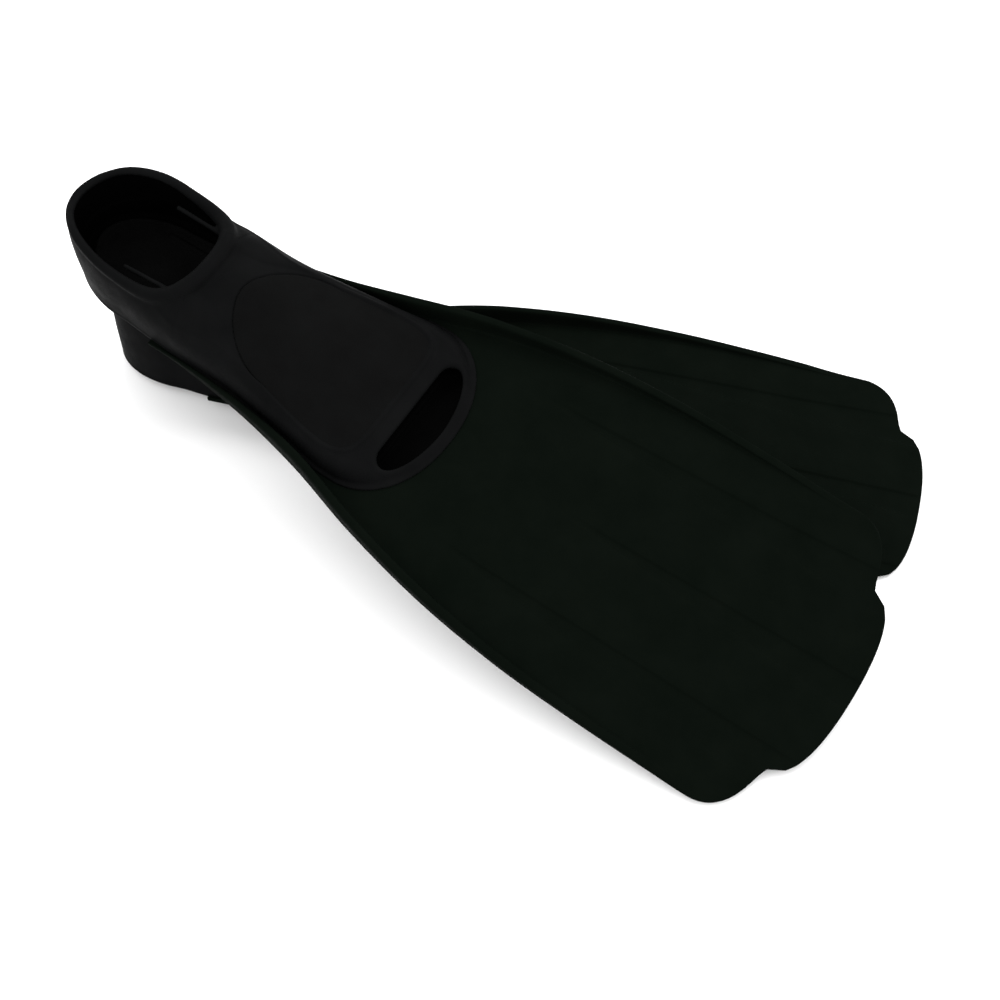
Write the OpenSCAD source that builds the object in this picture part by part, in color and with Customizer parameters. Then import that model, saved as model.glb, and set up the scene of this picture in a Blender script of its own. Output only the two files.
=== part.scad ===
// A pair of full-foot swim fins, one lying across the other. Millimetres.
// Frame: the lower fin stands on the floor (Z = 0) with the middle of its heel tread at the
// origin and its blade along +X. Each fin is drawn in a frame of its own, with the back of its
// heel at heel_x and its blade along +X, and is then set down in its place.

/* [Blade] */
// Length of one fin, heel to blade tip
fin_l = 519; // [494:5:544]
// Widest part of the blade
blade_w = 190; // [184:2:200]
// Thickness of the blade plate
blade_t = 3.2; // [2.8:0.2:3.6]
// Height of the side rails above the plate where they are tallest
rail_h = 12; // [9:1:15]
// Depth of the three flutes in the top of the blade
flute_d = 1.1; // [0.6:0.1:1.4]
// How far the underside of the blade arches clear of the floor under the toes
arch_h = 13; // [11:1:15]
// Distance from the heel to the line the blade flexes about
flex_x = 345; // [335:5:360]

/* [Foot pocket] */
// Width of the pocket at the ball of the foot
ball_w = 111; // [107:1:113]
// Width of the pocket at the heel
heel_w = 80; // [76:1:84]
// Height of the heel cup above the floor
heel_h = 50; // [46:1:54]
// Height of the collar in front of the ankle
collar_h = 51; // [48:1:56]
// Rubber wall of the pocket
wall_t = 3.4; // [2.8:0.2:4]
// Width of the toe slot
slot_w = 75; // [68:1:76]
// Length of the toe slot along the foot
slot_l = 23; // [18:1:24]
// Radius of the rolled collar edge
roll_r = 4; // [3:0.5:4.5]

/* [How the upper fin lies] */
// Turn of the upper fin seen from above
upper_yaw = -15.5; // [-18:0.5:-12]
// Slope of the upper fin, heel high
upper_pitch = 9.7; // [9:0.1:9.7]
// Lean of the upper fin onto its near edge
upper_roll = 12.9; // [11:0.1:14]
// Height of the upper heel above the floor
upper_lift = 101.7; // [101.7:0.1:120]

/* [Hidden] */

RUBBER = [0.10, 0.10, 0.10];
SOFT_RUBBER = [0.13, 0.13, 0.13];
TREAD = [0.08, 0.08, 0.085];
PLASTIC = [0.07, 0.10, 0.075];

heel_x = 6;                     // back of the heel in the fin's own frame
end_x = heel_x + fin_l;         // tip of the blade
fit_gap = 0.25;                 // air kept between pieces that only touch
rest_x = 36;                    // middle of the heel tread
upper_x = 8;                    // the upper fin's own frame, seen from above, from the lower one's
upper_y = -14;

// ---- the spine: the underside of the blade, an inverted V with a soft bend at the toes ----
bend_x = 242;
bend_r = 40;
function past_bend(d) = sqrt(d * d + bend_r * bend_r) - bend_r;
function spine(x) =
    arch_h * (1 - past_bend(x - bend_x) / past_bend(x < bend_x ? bend_x : end_x - bend_x));

// Value at x on a smooth curve through a table of [x, value] rows
function row_at(x, rows) =
    max([0, for (i = [0 : len(rows) - 2]) if (x >= rows[i][0]) i]);
function slope_at(i, rows) =
    i == 0 || i == len(rows) - 1 ? 0 :
    (rows[i + 1][1] - rows[i - 1][1]) / (rows[i + 1][0] - rows[i - 1][0]);
function hermite(a, b, ma, mb, w, t) =
    a * (2 * t * t * t - 3 * t * t + 1) + ma * w * (t * t * t - 2 * t * t + t)
    + b * (3 * t * t - 2 * t * t * t) + mb * w * (t * t * t - t * t);
function curve(x, rows) =
    x <= rows[0][0] ? rows[0][1] :
    x >= rows[len(rows) - 1][0] ? rows[len(rows) - 1][1] :
    let (i = row_at(x, rows), w = rows[i + 1][0] - rows[i][0])
    hermite(rows[i][1], rows[i + 1][1], slope_at(i, rows), slope_at(i + 1, rows), w,
            (x - rows[i][0]) / w);
function bezier(p, t) =
    p[0] * pow(1 - t, 3) + 3 * p[1] * pow(1 - t, 2) * t
    + 3 * p[2] * (1 - t) * t * t + p[3] * pow(t, 3);

// ---- blade plan ----
arm_x = 84;                     // where the side arms of the blade start beside the heel
corner_x = end_x - 52;          // where the straight edge turns into the outer lobe
notch_x = end_x - 19;
notch_y = blade_w * 0.312;
lobe_x = end_x - 23;
half_blade = blade_w / 2;
edge_rows = [
    [arm_x, heel_w / 2 + 3.2], [147, heel_w / 2 + 9.2], [200, ball_w / 2 + 4.8],
    [252, half_blade * 0.797], [305, half_blade * 0.916], [357, half_blade * 0.979],
    [404, half_blade * 0.998], [corner_x, half_blade]
];
function edge_y(x) = curve(x, edge_rows);
edge_steps = [for (i = [0 : 40]) arm_x + (corner_x - arm_x) * i / 40];
outer_lobe = [
    [corner_x, half_blade], [lobe_x, half_blade + 2], [lobe_x, notch_y + 8],
    [notch_x, notch_y]
];
centre_lobe = [
    [notch_x, notch_y], [notch_x + 16, notch_y - 2], [end_x, 26], [end_x, 0]
];
half_outline = concat(
    [for (x = edge_steps) [x, edge_y(x)]],
    [for (i = [1 : 12]) bezier(outer_lobe, i / 12)],
    [for (i = [1 : 14]) bezier(centre_lobe, i / 14)]
);
function mirrored(half) = [for (i = [len(half) - 1 : -1 : 0]) [half[i][0], -half[i][1]]];

tall = 120;                     // more than the height of anything here
wide = 240;                     // more than the width of anything here

// A prism standing on a plan outline
module plan(points) {
    translate([0, 0, -tall / 2])
        linear_extrude(height = tall)
            polygon(points);
}

// A slab as wide as the fin whose side view lies between two lists of [x, z]
module side_band(low, high) {
    rotate([90, 0, 0])
        linear_extrude(height = wide, center = true)
            polygon(concat(low, [for (i = [len(high) - 1 : -1 : 0]) high[i]]));
}

function along(x0, x1, n) = [for (i = [0 : n]) x0 + (x1 - x0) * i / n];

// ---- blade: plate, rails, flutes ----
rail_from = 100;
rail_to = 482;
rail_rows = [
    [rail_from, 0.4], [150, rail_h * 0.55], [210, rail_h], [262, rail_h * 0.79],
    [345, rail_h * 0.4], [430, rail_h * 0.14], [rail_to, 0.3]
];
rail_wall_rows = [[rail_from, 1.4], [160, 3.6], [205, 5], [rail_to, 4.4]];
function rail_z(x) = curve(x, rail_rows);
function rail_wall(x) = curve(x, rail_wall_rows);

module plate() {
    xs = along(arm_x - 2, end_x + 2, 60);
    intersection() {
        difference() {
            plan(concat(half_outline, mirrored(half_outline)));
            pocket_bay();
        }
        side_band([for (x = xs) [x, spine(x)]], [for (x = xs) [x, spine(x) + blade_t]]);
    }
}

// The bay between the side arms that the foot pocket fills
bay_gap = 0.5;
bay_end = 256.5;
module pocket_bay() {
    xs = along(arm_x - 4, bay_end, 36);
    edge = [for (x = xs) [x, half_w(x) + bay_gap]];
    plan(concat(edge, mirrored(edge)));
}

module rail(side) {
    xs = along(rail_from, rail_to, 54);
    outer = [for (x = xs) [x, side * min(edge_y(x), half_blade)]];
    inner = [for (i = [len(xs) - 1 : -1 : 0]) [xs[i], side * (edge_y(xs[i]) - rail_wall(xs[i]))]];
    intersection() {
        plan(concat(outer, inner));
        side_band(
            [for (x = xs) [x, spine(x) + blade_t / 2]],
            [for (x = xs) [x, spine(x) + blade_t + rail_z(x)]]
        );
    }
}

// Three wedges that start as points and open toward the tip
centre_flute = [[335, 0], [end_x + 5, 8.8], [end_x + 5, -8.8]];
outer_flute = [[287, 52.8], [notch_x + 8, 69.5], [notch_x + 8, 48.4]];
module flutes() {
    xs = along(280, end_x + 6, 24);
    floor_z = [for (x = xs) [x, spine(x) + blade_t - flute_d]];
    intersection() {
        union() {
            plan(centre_flute);
            plan(outer_flute);
            mirror([0, 1, 0]) plan(outer_flute);
        }
        side_band(floor_z, [for (p = floor_z) p + [0, 8]]);
    }
}

module whole_blade() {
    difference() {
        union() {
            plate();
            rail(1);
            rail(-1);
        }
        flutes();
    }
}

// The flex line: a bead on the tip half sits in a hollow along the end of the root half
flex_z = spine(flex_x) + blade_t / 2;
bead_r = blade_t / 2;
bead_gap = 0.2;
notch_lean = 16;                // each side of the rail notch leans back this many degrees
module along_flex(r, length) {
    translate([flex_x, 0, flex_z])
        rotate([90, 0, 0])
            cylinder(r = r, h = length, center = true, $fn = 48);
}
module rail_notch() {
    base = 1.6;
    spread = tall / 2 * tan(notch_lean);
    translate([flex_x, 0, flex_z + bead_r - 0.05])
        rotate([90, 0, 0])
            linear_extrude(height = wide, center = true)
                polygon([
                    [-base, 0], [base, 0], [base + spread, tall / 2], [-base - spread, tall / 2]
                ]);
}
module half_space(side) {
    x0 = side < 0 ? flex_x - 600 : flex_x;
    translate([x0, -wide / 2, -tall / 2])
        cube([600, wide, tall]);
}

module blade_root() {
    color(PLASTIC)
        difference() {
            intersection() {
                whole_blade();
                half_space(-1);
            }
            along_flex(bead_r + bead_gap, wide);
            rail_notch();
        }
}

module blade_tip() {
    color(PLASTIC)
        union() {
            difference() {
                intersection() {
                    whole_blade();
                    half_space(1);
                }
                rail_notch();
            }
            along_flex(bead_r, 2 * edge_y(flex_x) - 3);
        }
}

// ---- foot pocket: rings of points along the foot, outside skin and inside skin ----
ball_k = ball_w / 111;
heel_k = heel_w / 80;
slot_x = 240;                   // straight rear edge of the toe slot
slot_n = 2.2;                   // how square the D of the slot is
function slot_y(x, grow) =
    (slot_w / 2 + grow) * pow(max(0, 1 - pow((x - slot_x) / (slot_l + grow), slot_n)), 1 / slot_n);
slot_end = slot_x + slot_l * 0.975;

open_x = 105;                   // front edge of the foot opening
toe_flat_x = 229;               // front edge of the instep panel
stations = [
    heel_x, heel_x + 1.2, heel_x + 3.4, 14, 21, 30, 40, 52, 64, 76, 86, 94, 100, open_x, 110,
    117, 126, 134, 146, 160, 174, 188, 202, 215, toe_flat_x, 234, slot_x,
    slot_x + slot_l * 0.33, slot_x + slot_l * 0.62, slot_x + slot_l * 0.85, slot_end,
    264.4, 265.8, 267, 268
];
open_from = 2;                  // the foot opening runs between these stations
open_to = 13;
panel_from = 16;                // the instep panel lies between these
panel_to = 24;
slot_from = 26;                 // the toe slot lies between these
slot_to = 30;
last = len(stations) - 1;

ring = 32;                      // points in a ring, counted from the top centre line
top_cells = 4;                  // cells each side of the centre line that make the top

round_heel_x = 60;              // the heel is half an ellipse back from here
round_half = 38 * heel_k;
function heel_half(x) =
    round_half * sqrt(max(0.05, 1 - pow((round_heel_x - x) / (round_heel_x - heel_x), 2)));
half_rows = [
    [round_heel_x, round_half], [80, heel_w / 2 - 0.4], [98, 41 * heel_k],
    [126, 42 * heel_k], [146, 43.2 * heel_k], [160, 45.2 * ball_k], [188, 50 * ball_k],
    [214, 55 * ball_k], [226, ball_w / 2], [237, 53 * ball_k], [249, 46.5 * ball_k],
    [258, 36.5 * ball_k], [262, 28.5], [265, 19], [268, 6]
];
shoulder_y_rows = [
    [heel_x, 5], [heel_x + 1.2, 7.5], [heel_x + 3.4, 11.5 * heel_k], [14, 17 * heel_k],
    [21, 22.8 * heel_k], [30, 28 * heel_k], [40, 31.6 * heel_k], [52, 33.8 * heel_k],
    [64, 34.4 * heel_k], [76, 33.2 * heel_k], [86, 30 * heel_k], [94, 25.6 * heel_k],
    [100, 20.4 * heel_k], [open_x, 13], [110, 13.5], [117, 14.5], [126, 17], [134, 23.5],
    [146, 30.5], [160, 35.7], [174, 39.6 * ball_k], [188, 42.4 * ball_k],
    [202, 44.4 * ball_k], [215, 45 * ball_k], [toe_flat_x, 42.5 * ball_k],
    [234, 40 * ball_k], [slot_x, slot_w / 2]
];
flat_z = 25.2;                  // height of the pocket's top at the toe edge of the panel
top_z_rows = [
    [heel_x, heel_h - 4], [heel_x + 3.4, heel_h - 1.5], [21, heel_h + 1.5], [45, heel_h + 1.5],
    [64, heel_h - 2.5], [80, heel_h - 5], [94, collar_h - 4.5], [open_x, collar_h],
    [110, collar_h + 0.3], [117, collar_h - 0.4], [126, collar_h - 2], [134, collar_h - 4],
    [146, collar_h * 0.865], [160, collar_h * 0.785], [174, 36.3], [188, 32.8], [202, 29.8],
    [215, 27.4], [toe_flat_x, flat_z]
];
brow_rows = [
    [open_x, 0.6], [117, 3], [134, 5.5], [160, 6], [188, 4.4], [212, 2.4], [toe_flat_x, 0]
];
toe_slope = 0.165;              // fall of the flat toe top, in mm for each mm forward
function toe_top(x) = flat_z - toe_slope * (x - toe_flat_x);
function half_w(x) = x < round_heel_x ? heel_half(x) : curve(x, half_rows);
function top_z(x) = x > toe_flat_x ? toe_top(x) : curve(x, top_z_rows);
pad_t = 3;                      // thickness of the tread pads under the pocket
sole_rise = 2.8;                // rise of the sole from heel to ball
function sole_z(x) = sole_rise * min(1, x / 226);
// The sole runs low past the ball, then climbs onto the top of the blade plate
function base_z(x) =
    let (t = min(1, max(0, (x - 225) / 31)), s = t * t * (3 - 2 * t))
    (1 - s) * (sole_z(x) + pad_t) + s * (spine(x) + blade_t) + fit_gap;
function shoulder_y(x) =
    x <= slot_x ? curve(x, shoulder_y_rows) :
    x <= slot_end + 0.01 ? slot_y(x, 0) : min(slot_y(slot_end, 0), half_w(x) * 0.6);
function shoulder_z(x) = x < open_x || x > toe_flat_x ? top_z(x) : top_z(x) - curve(x, brow_rows);

skin_rows = [[0, wall_t], [200, wall_t], [toe_flat_x, 2], [268, 1.6]];
floor_rows = [[0, 3], [200, 3], [toe_flat_x, 2.2], [258, 1.4]];
function skin(x) = curve(x, skin_rows);
function floor_t(x) = curve(x, floor_rows);

function signed_pow(v, e) = sign(v) * pow(abs(v), e);

// Point number j of the ring at x. Walls fall from the shoulder to the widest line, then curl
// under to the sole.
belly = 0.42;
sole_n = 5;
cavity_n = 5;
function wall_point(t, hw, sy, sz, bz, n) =
    let (wz = bz + (sz - bz) * belly)
    t <= 0.4 ?
        let (a = 90 * t / 0.4)
        [sy + (hw - sy) * sin(a), sz - (sz - wz) * (1 - cos(a))] :
        let (a = 90 * (t - 0.4) / 0.6)
        [hw * signed_pow(cos(a), 2 / n), wz - (wz - bz) * signed_pow(sin(a), 2 / n)];
function ring_point(j, x, hw, sy, sz, tz, bz, n) =
    let (a = abs(j), side = sign(j))
    a <= top_cells ?
        let (u = a / top_cells)
        [x, side * sy * u, sz + (tz - sz) * (1 - u * u)] :
        let (p = wall_point((a - top_cells) / (ring / 2 - top_cells), hw, sy, sz, bz, n))
        [x, side * p[0], p[1]];
function ring_index(j) = j < 0 ? j + ring : j;
function ring_turn(k) = k > ring / 2 ? k - ring : k;

function outer_ring(i) =
    let (x = stations[i])
    [for (k = [0 : ring - 1])
        ring_point(ring_turn(k), x, half_w(x), shoulder_y(x), shoulder_z(x), top_z(x),
                   base_z(x), sole_n)];
function inner_ring(i) =
    let (
        x = stations[i],
        open = i < open_to,
        slot = i >= slot_from,
        t = skin(x),
        drop = open ? 0 : t
    )
    [for (k = [0 : ring - 1])
        ring_point(ring_turn(k), x + t * max(0, 1 - (x - heel_x) / 40), half_w(x) - t,
                   shoulder_y(x) - (open ? t : slot ? 0 : t * 0.5), shoulder_z(x) - drop,
                   top_z(x) - drop, base_z(x) + floor_t(x), cavity_n)];

function grid_faces(base, i0, i1, flip, holes) =
    [for (i = [i0 : i1 - 1], k = [0 : ring - 1])
        let (
            j = ring_turn(k),
            top = (k < top_cells || k >= ring - top_cells),
            hole = holes && top
                && ((i >= open_from && i < open_to) || (i >= slot_from && i < slot_to)),
            a = base + i * ring + k,
            b = base + i * ring + (k + 1) % ring,
            c = a + ring,
            d = b + ring
        )
        if (!hole) each (flip ? [[a, d, b], [a, c, d]] : [[a, b, d], [a, d, c]])];

// An end of a skin, closed by a fan of faces about a middle point
function ring_middle(pts) = (pts[0] + pts[ring / 2]) / 2;
function cap_faces(base, middle, flip) =
    [for (k = [0 : ring - 1])
        let (a = base + k, b = base + (k + 1) % ring)
        flip ? [middle, b, a] : [middle, a, b]];

// Faces joining the outer skin to the inner skin round one hole
function rim_faces(base, i0, i1) = concat(
    [for (i = [i0 : i1 - 1], side = [-1, 1])
        let (
            k = ring_index(side * top_cells),
            a = i * ring + k, b = a + ring, c = base + a, d = base + b
        )
        each (side > 0 ? [[a, b, d], [a, d, c]] : [[a, d, b], [a, c, d]])],
    [for (j = [-top_cells : top_cells - 1], end = [0, 1])
        let (
            i = end == 0 ? i0 : i1,
            a = i * ring + ring_index(j), b = i * ring + ring_index(j + 1),
            c = base + a, d = base + b
        )
        each (end == 0 ? [[a, b, d], [a, d, c]] : [[a, d, b], [a, c, d]])]
);

module foot_pocket() {
    n = len(stations);
    inner_base = n * ring;
    middles = 2 * n * ring;
    pts = concat(
        [for (i = [0 : last]) each outer_ring(i)],
        [for (i = [0 : last]) each inner_ring(i)],
        [for (i = [0, last]) ring_middle(outer_ring(i))],
        [for (i = [open_from, slot_to]) ring_middle(inner_ring(i))]
    );
    faces = concat(
        grid_faces(0, 0, last, false, true),
        grid_faces(inner_base, open_from, slot_to, true, true),
        rim_faces(inner_base, open_from, open_to),
        rim_faces(inner_base, slot_from, slot_to),
        cap_faces(0, middles, true),
        cap_faces(last * ring, middles + 1, false),
        cap_faces(inner_base + open_from * ring, middles + 2, false),
        cap_faces(inner_base + slot_to * ring, middles + 3, true)
    );
    color(RUBBER)
        polyhedron(points = pts, faces = faces, convexity = 8);
}

// ---- instep panel: a shield that follows the top of the pocket ----
panel_t = 1.6;
panel_gap = 0.2;
module instep_panel() {
    row = 2 * top_cells + 1;
    rows = panel_to - panel_from + 1;
    under = [for (i = [panel_from : panel_to], j = [-top_cells : top_cells])
        let (x = stations[i])
        ring_point(j, x, half_w(x), shoulder_y(x), shoulder_z(x), top_z(x), base_z(x), sole_n)
        + [0, 0, panel_gap]];
    pts = concat(under, [for (p = under) p + [0, 0, panel_t]]);
    lift = rows * row;
    faces = concat(
        [for (i = [0 : rows - 2], j = [0 : row - 2])
            let (a = i * row + j, b = a + 1, c = a + row, d = c + 1)
            each [[a, d, b], [a, c, d], [a + lift, b + lift, d + lift],
                  [a + lift, d + lift, c + lift]]],
        [for (i = [0 : rows - 2])
            let (a = i * row, b = a + row, c = i * row + row - 1, d = c + row)
            each [[a, b + lift, b], [a, a + lift, b + lift], [c, d, d + lift],
                  [c, d + lift, c + lift]]],
        [for (j = [0 : row - 2])
            let (a = j, b = j + 1, c = (rows - 1) * row + j, d = c + 1)
            each [[a, b, b + lift], [a, b + lift, a + lift], [c, d + lift, d],
                  [c, c + lift, d + lift]]]
    );
    color(SOFT_RUBBER)
        polyhedron(points = pts, faces = faces, convexity = 4);
}

// ---- collar roll: a round edge standing on the front half of the opening ----
roll_from = 8;                  // station where the roll starts, each side
roll_sides = 12;
roll_gap = 0.8;                 // the roll's round underside stands this far off the edge
roll_side = [for (i = [roll_from : open_to - 1])
    [stations[i], shoulder_y(stations[i]) - wall_t / 2, shoulder_z(stations[i])]];
roll_front = [for (s = [0.6, 0.2, -0.2, -0.6])
    [open_x - 1.5, s * (shoulder_y(open_x) - wall_t / 2), collar_h]];
roll_path = concat(
    roll_side, roll_front,
    [for (i = [len(roll_side) - 1 : -1 : 0]) [roll_side[i][0], -roll_side[i][1], roll_side[i][2]]]
);
function unit(v) = v / norm(v);
module collar_roll() {
    n = len(roll_path);
    pts = [for (i = [0 : n - 1])
        let (
            t = unit(roll_path[min(i + 1, n - 1)] - roll_path[max(i - 1, 0)]),
            side = unit(cross(t, [0, 0, 1])),
            up = cross(side, t),
            taper = min(1, 0.55 + 0.15 * min(i, n - 1 - i)),
            r = roll_r * taper,
            centre = roll_path[i] + up * (r + roll_gap)
        )
        for (k = [0 : roll_sides - 1])
            centre + side * r * cos(360 * k / roll_sides) + up * r * sin(360 * k / roll_sides)];
    faces = concat(
        [for (i = [0 : n - 2], k = [0 : roll_sides - 1])
            let (
                a = i * roll_sides + k, b = i * roll_sides + (k + 1) % roll_sides,
                c = a + roll_sides, d = b + roll_sides
            )
            each [[a, b, d], [a, d, c]]],
        [[for (k = [roll_sides - 1 : -1 : 0]) k]],
        [[for (k = [0 : roll_sides - 1]) (n - 1) * roll_sides + k]]
    );
    color(RUBBER)
        polyhedron(points = pts, faces = faces, convexity = 6);
}

// ---- toe lip: a raised rim round the front of the toe slot ----
lip_w = 3.4;
lip_t = 1.6;
module toe_lip() {
    xs = concat(along(slot_x + 1, slot_x + slot_l * 0.9, 14), [slot_end]);
    ys = concat(along(slot_x + 1, slot_x + slot_l * 0.9, 14), [slot_end, slot_end + lip_w * 0.7]);
    inner = [for (x = xs) [x, slot_y(x, 0) + 0.2]];
    outer = [for (x = ys) [x, slot_y(x, lip_w)]];
    tops = along(slot_x - 2, slot_x + slot_l + lip_w + 2, 2);
    color(SOFT_RUBBER)
        intersection() {
            difference() {
                plan(concat(outer, mirrored(outer)));
                plan(concat([[slot_x - 5, slot_w / 2]], inner, mirrored(inner),
                            [[slot_x - 5, -slot_w / 2]]));
            }
            side_band(
                [for (x = tops) [x, toe_top(x) + 0.15]],
                [for (x = tops) [x, toe_top(x) + 0.15 + lip_t]]
            );
        }
}

// ---- foot bed: the inner sole with two ribs ----
bed_t = 2.6;
bed_gap = 1;
bed_share = 0.66;               // width of the bed as a share of the cavity
rib_t = 1.4;
rib_w = 3.2;
rib_y = 23.5;                   // outer side of each rib
rib_from = 46;
rib_to = 100;
function bed_z(x) = base_z(x) + floor_t(x) + bed_gap;
module foot_bed() {
    xs = along(22, 220, 30);
    edge = [for (x = xs) [x, (half_w(x) - skin(x)) * bed_share]];
    rib_xs = along(rib_from, rib_to, 8);
    color(RUBBER)
        union() {
            intersection() {
                plan(concat(edge, mirrored(edge)));
                side_band([for (x = xs) [x, bed_z(x)]], [for (x = xs) [x, bed_z(x) + bed_t]]);
            }
            for (side = [-1, 1])
                intersection() {
                    plan([
                        [rib_from, side * (rib_y - rib_w)], [rib_to, side * (rib_y - rib_w)],
                        [rib_to, side * rib_y], [rib_from, side * rib_y]
                    ]);
                    side_band(
                        [for (x = rib_xs) [x, bed_z(x) + bed_t / 2]],
                        [for (x = rib_xs) [x, bed_z(x) + bed_t + rib_t]]
                    );
                }
        }
}

// ---- treads: the grip pads under the heel and the ball of the foot ----
groove_w = 2.4;
groove_d = 1.2;
groove_pitch = 12;
module tread(x0, x1, grooves_from) {
    xs = along(x0, x1, 16);
    edge = [for (x = xs) [x, half_w(x) * 0.78]];
    color(TREAD)
        difference() {
            intersection() {
                plan(concat(edge, mirrored(edge)));
                side_band(
                    [for (x = xs) [x, x0 < arm_x ? 0 : sole_z(x)]],
                    [for (x = xs) [x, sole_z(x) + pad_t]]
                );
            }
            for (x = [grooves_from : groove_pitch : x1 - 6])
                translate([x, -wide / 2, sole_z(x) + groove_d - 5])
                    cube([groove_w, wide, 5]);
        }
}
module heel_tread() tread(12, 76, 60);
module ball_tread() tread(96, 226, 106);

// ---- where each fin lies ----
module on_lower() {
    translate([-rest_x, 0, 0])
        children();
}
module on_upper() {
    translate([upper_x - rest_x, upper_y, upper_lift])
        rotate([upper_roll, upper_pitch, upper_yaw])
            children();
}

on_lower() blade_root();  // lower_blade_root
on_lower() blade_tip();  // lower_blade_tip
on_lower() foot_pocket();  // lower_foot_pocket
on_lower() collar_roll();  // lower_collar_roll
on_lower() instep_panel();  // lower_instep_panel
on_lower() toe_lip();  // lower_toe_lip
on_lower() foot_bed();  // lower_foot_bed
on_lower() heel_tread();  // lower_heel_tread
on_lower() ball_tread();  // lower_ball_tread
on_upper() blade_root();  // upper_blade_root
on_upper() blade_tip();  // upper_blade_tip
on_upper() foot_pocket();  // upper_foot_pocket
on_upper() collar_roll();  // upper_collar_roll
on_upper() instep_panel();  // upper_instep_panel
on_upper() toe_lip();  // upper_toe_lip
on_upper() foot_bed();  // upper_foot_bed
on_upper() heel_tread();  // upper_heel_tread
on_upper() ball_tread();  // upper_ball_tread
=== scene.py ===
"""Looks of a pair of full-foot swim fins, one lying across the other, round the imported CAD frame.

Shapes are worked out in millimetres in a fin's own frame: the back of the heel at HEEL_X, the
blade along +X, +Z up. Each fin is then set down in its place in the frame, in metres. Rubber parts
are solids given by a formula that is negative inside, and solid() turns the formula into a mesh.
The blade is a grid of points whose columns follow the flutes and rails.
"""

import math

import bpy
import numpy as np
from mathutils import Matrix, Vector


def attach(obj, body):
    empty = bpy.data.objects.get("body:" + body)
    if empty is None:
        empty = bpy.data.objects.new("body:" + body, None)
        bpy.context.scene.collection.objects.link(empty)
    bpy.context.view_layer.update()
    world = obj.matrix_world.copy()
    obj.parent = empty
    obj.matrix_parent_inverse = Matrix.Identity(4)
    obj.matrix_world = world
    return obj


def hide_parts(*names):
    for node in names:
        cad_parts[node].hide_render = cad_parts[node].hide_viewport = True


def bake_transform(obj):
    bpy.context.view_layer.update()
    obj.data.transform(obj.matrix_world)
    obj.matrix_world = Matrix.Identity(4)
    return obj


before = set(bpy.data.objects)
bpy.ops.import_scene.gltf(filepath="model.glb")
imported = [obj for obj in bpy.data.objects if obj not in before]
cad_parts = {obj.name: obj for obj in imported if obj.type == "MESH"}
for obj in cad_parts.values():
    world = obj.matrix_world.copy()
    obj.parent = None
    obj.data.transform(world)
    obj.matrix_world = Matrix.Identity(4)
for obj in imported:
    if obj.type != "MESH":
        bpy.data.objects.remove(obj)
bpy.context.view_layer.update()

# ---- driving dimensions in mm, the same as the CAD part's but for the slot's length ----
HEEL_X = 6.0
END_X = 525.0
BLADE_W = 190.0
BLADE_T = 3.2
RAIL_H = 12.0
FLUTE_D = 1.1
ARCH_H = 13.0
BALL_W = 111.0
WALL_T = 3.4
PAD_T = 3.0
SLOT_X = 240.0
SLOT_L = 21.0  # 22.4 in CAD, where the end of the D is cut off flat
SLOT_W = 75.0
REST_X = 36.0
FLEX_X = 345.0

# ---- where the upper fin lies ----
UPPER_TURN = (12.9, 9.7, -15.5)  # degrees about x, then y, then z
UPPER_AT = (8.0, -14.0, 101.7)  # in mm

MM = 0.001


# ---- small rules ----
def curve(x, rows):
    """Value at x on a smooth curve through [x, value] rows, level at both ends."""
    xs, ys = np.array(rows, float).T
    slope = np.zeros(len(xs))
    slope[1:-1] = (ys[2:] - ys[:-2]) / (xs[2:] - xs[:-2])
    x = np.clip(x, xs[0], xs[-1])
    i = np.clip(np.searchsorted(xs, x, side="right") - 1, 0, len(xs) - 2)
    w = xs[i + 1] - xs[i]
    t = (x - xs[i]) / w
    start = ys[i] * (2 * t**3 - 3 * t**2 + 1) + slope[i] * w * (t**3 - 2 * t**2 + t)
    end = ys[i + 1] * (3 * t**2 - 2 * t**3) + slope[i + 1] * w * (t**3 - t**2)
    return start + end


def ramp(x, start, end):
    """0 before start, 1 after end, with a smooth rise between."""
    t = np.clip((x - start) / (end - start), 0, 1)
    return t * t * (3 - 2 * t)


def ridge(d, width):
    """A soft ridge, 1 where d is 0 and fading out over about width."""
    return np.exp(-((d / width) ** 2))


def smooth_max(a, b, r):
    """The larger of two distances, with the corner where they meet rounded off."""
    h = np.clip(0.5 + 0.5 * (a - b) / r, 0, 1)
    return b + (a - b) * h + r * h * (1 - h)


def smooth_min(a, b, r):
    return -smooth_max(-a, -b, r)


def arc(x, start, end, power):
    """Half width of a rounded end: 1 at start, falling to 0 at end."""
    t = np.clip((x - start) / (end - start), 0, 1)
    return (1 - t**power) ** (1 / power)


def spaced(start, end, n):
    """Stations that crowd towards end, for an outline that closes there."""
    return start + (end - start) * np.sin(np.linspace(0, math.pi / 2, n))


# ---- outlines seen from above, the same on both sides of the middle line ----
GRID = 0.5  # spacing of the lookup tables
GRID_X = np.arange(-16, 284, GRID)
GRID_A = np.arange(-2, 80, GRID)


def lookup(table, x, a):
    """Value at (x, a) between the points of a table on the GRID."""
    i = np.clip((x - GRID_X[0]) / GRID, 0, len(GRID_X) - 1.001)
    j = np.clip((a - GRID_A[0]) / GRID, 0, len(GRID_A) - 1.001)
    i0, j0 = np.floor(i).astype(int), np.floor(j).astype(int)
    s, t = i - i0, j - j0
    near = table[i0, j0] * (1 - s) + table[i0 + 1, j0] * s
    far = table[i0, j0 + 1] * (1 - s) + table[i0 + 1, j0 + 1] * s
    return near * (1 - t) + far * t


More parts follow.
